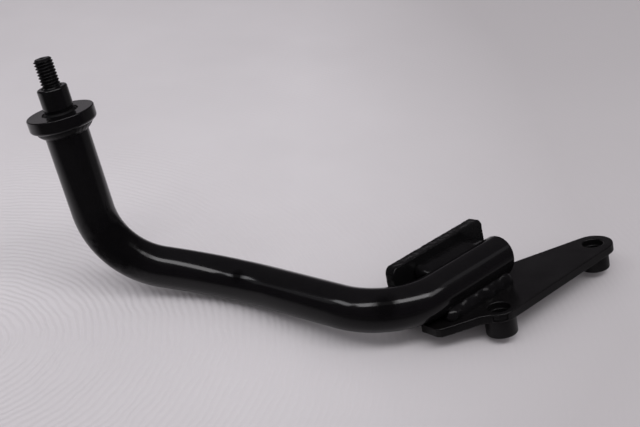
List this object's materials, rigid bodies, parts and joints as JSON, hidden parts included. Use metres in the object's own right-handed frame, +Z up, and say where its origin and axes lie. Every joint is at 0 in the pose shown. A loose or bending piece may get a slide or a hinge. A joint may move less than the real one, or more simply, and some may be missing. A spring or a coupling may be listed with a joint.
{
  "type": "motorcycle kickstand",
  "caption": "Bent-tube motorcycle kickstand: a leg with a swivel shoulder stud under a round flange at its top end and a welded foot bracket with bolt bosses and an upright flange.",
  "frame": {"origin": "centre of the bottom of the bounding box, on the bench the leg lies on", "axes": "+Z up from the bench; +X from the stud end towards the foot bracket, the longest extent; +Y away from the viewer of the reference view"},
  "size_m": [0.3072, 0.0872, 0.1287],
  "materials": {
    "gloss_black_paint": "gloss",
    "satin_black_paint": "satin",
    "weld_black_paint": "satin, rippled",
    "black_oxide_steel": "satin",
    "zinc_steel": "satin",
    "spring_steel": "oiled",
    "bronze": "turned",
    "black_rubber": "matt",
    "black_plastic": "matt"
  },
  "bodies": {
    "pivot": {"pivot_stud": "black_oxide_steel", "pivot_collar": "gloss_black_paint", "collar_seal": "black_rubber", "wave_washer": "spring_steel", "retaining_nut": "zinc_steel", "stop_pin": "zinc_steel", "return_spring": "spring_steel", "spring_anchor_washer": "zinc_steel"},
    "leg": {"leg_tube": "gloss_black_paint", "flange_disc": "gloss_black_paint", "disc_weld": "weld_black_paint", "back_weld": "weld_black_paint", "front_weld": "weld_black_paint", "flange_root_weld": "weld_black_paint", "base_plate": "satin_black_paint", "back_flange": "satin_black_paint", "near_boss": "satin_black_paint", "far_boss": "satin_black_paint", "tube_end_plug": "black_plastic", "flange_bush": "bronze", "thrust_washer": "zinc_steel", "stop_ring": "zinc_steel"}
  },
  "joints": [
    {"name": "leg_swing", "type": "hinge", "parent": "pivot", "child": "leg", "pos_m": [-0.13706, 0.02348, 0.10109], "axis": [-0.22, 0.1451, 0.9646], "range_deg": [-80, 0]}
  ]
}
